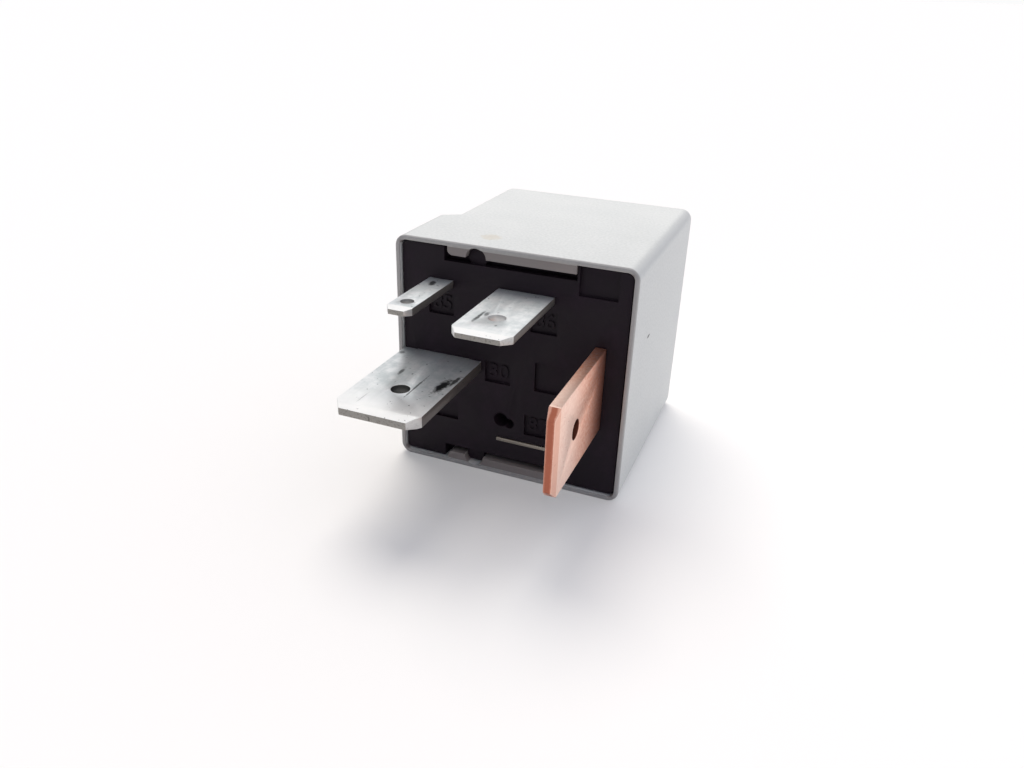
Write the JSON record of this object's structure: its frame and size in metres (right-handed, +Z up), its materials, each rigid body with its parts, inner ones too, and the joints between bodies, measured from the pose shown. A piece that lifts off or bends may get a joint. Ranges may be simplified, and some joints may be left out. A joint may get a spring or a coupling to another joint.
{
  "type": "automotive relay",
  "caption": "Plug-in automotive power relay: grey stepped cover over a black terminal base with flat tinned and copper blades, coil and hinged contact armature inside.",
  "frame": {"origin": "middle of the cover's rim, in the plane of the rim at the terminal face", "axes": "+Y from the rim to the closed end of the cover, blades point to -Y, +Z up with the relay lying on one flank, +X to the right seen from the terminal side"},
  "size_m": [0.027, 0.0422, 0.027],
  "materials": {
    "grey_plastic": "light grey moulded plastic, semi-gloss",
    "black_plastic": "black glass-filled plastic, fine moulded texture",
    "tinned_brass": "tin-plated brass, scratched",
    "bare_copper": "bare copper, lightly tarnished, sheared edges",
    "zinc_steel": "zinc-plated soft iron",
    "bobbin_plastic": "natural moulded plastic",
    "enamelled_wire": "enamelled copper wire",
    "spring_bronze": "rolled spring bronze, plated",
    "rivet_steel": "bright steel",
    "silver_alloy": "silver alloy contact",
    "copper_braid": "bare copper braid",
    "resistor_coating": "lacquered ceramic"
  },
  "bodies": {
    "relay_body": {"cover": "grey_plastic", "base": "black_plastic", "coil_terminal_narrow": "tinned_brass", "coil_terminal_wide": "tinned_brass", "supply_terminal": "tinned_brass", "load_terminal": "bare_copper", "yoke": "zinc_steel", "core": "zinc_steel", "bobbin": "bobbin_plastic", "coil_winding": "enamelled_wire", "coil_pin_start": "tinned_brass", "coil_pin_finish": "tinned_brass", "contact_spring": "spring_bronze", "yoke_rivets": "rivet_steel", "fixed_contact": "silver_alloy", "flexible_braid": "copper_braid", "armature_stop": "zinc_steel", "suppression_resistor": "resistor_coating"},
    "armature": {"armature": "zinc_steel", "armature_rivets": "rivet_steel", "moving_contact": "silver_alloy"}
  },
  "joints": [
    {"name": "armature_hinge", "type": "hinge", "parent": "relay_body", "child": "armature", "pos_m": [0.00198, 0.0202, -0.00835], "axis": [1, 0, 0], "range_deg": [0, 3.5], "stiffness_Nm_per_rad": 0.02, "springref_deg": -14.32, "deforming": ["contact_spring", "flexible_braid"]}
  ]
}
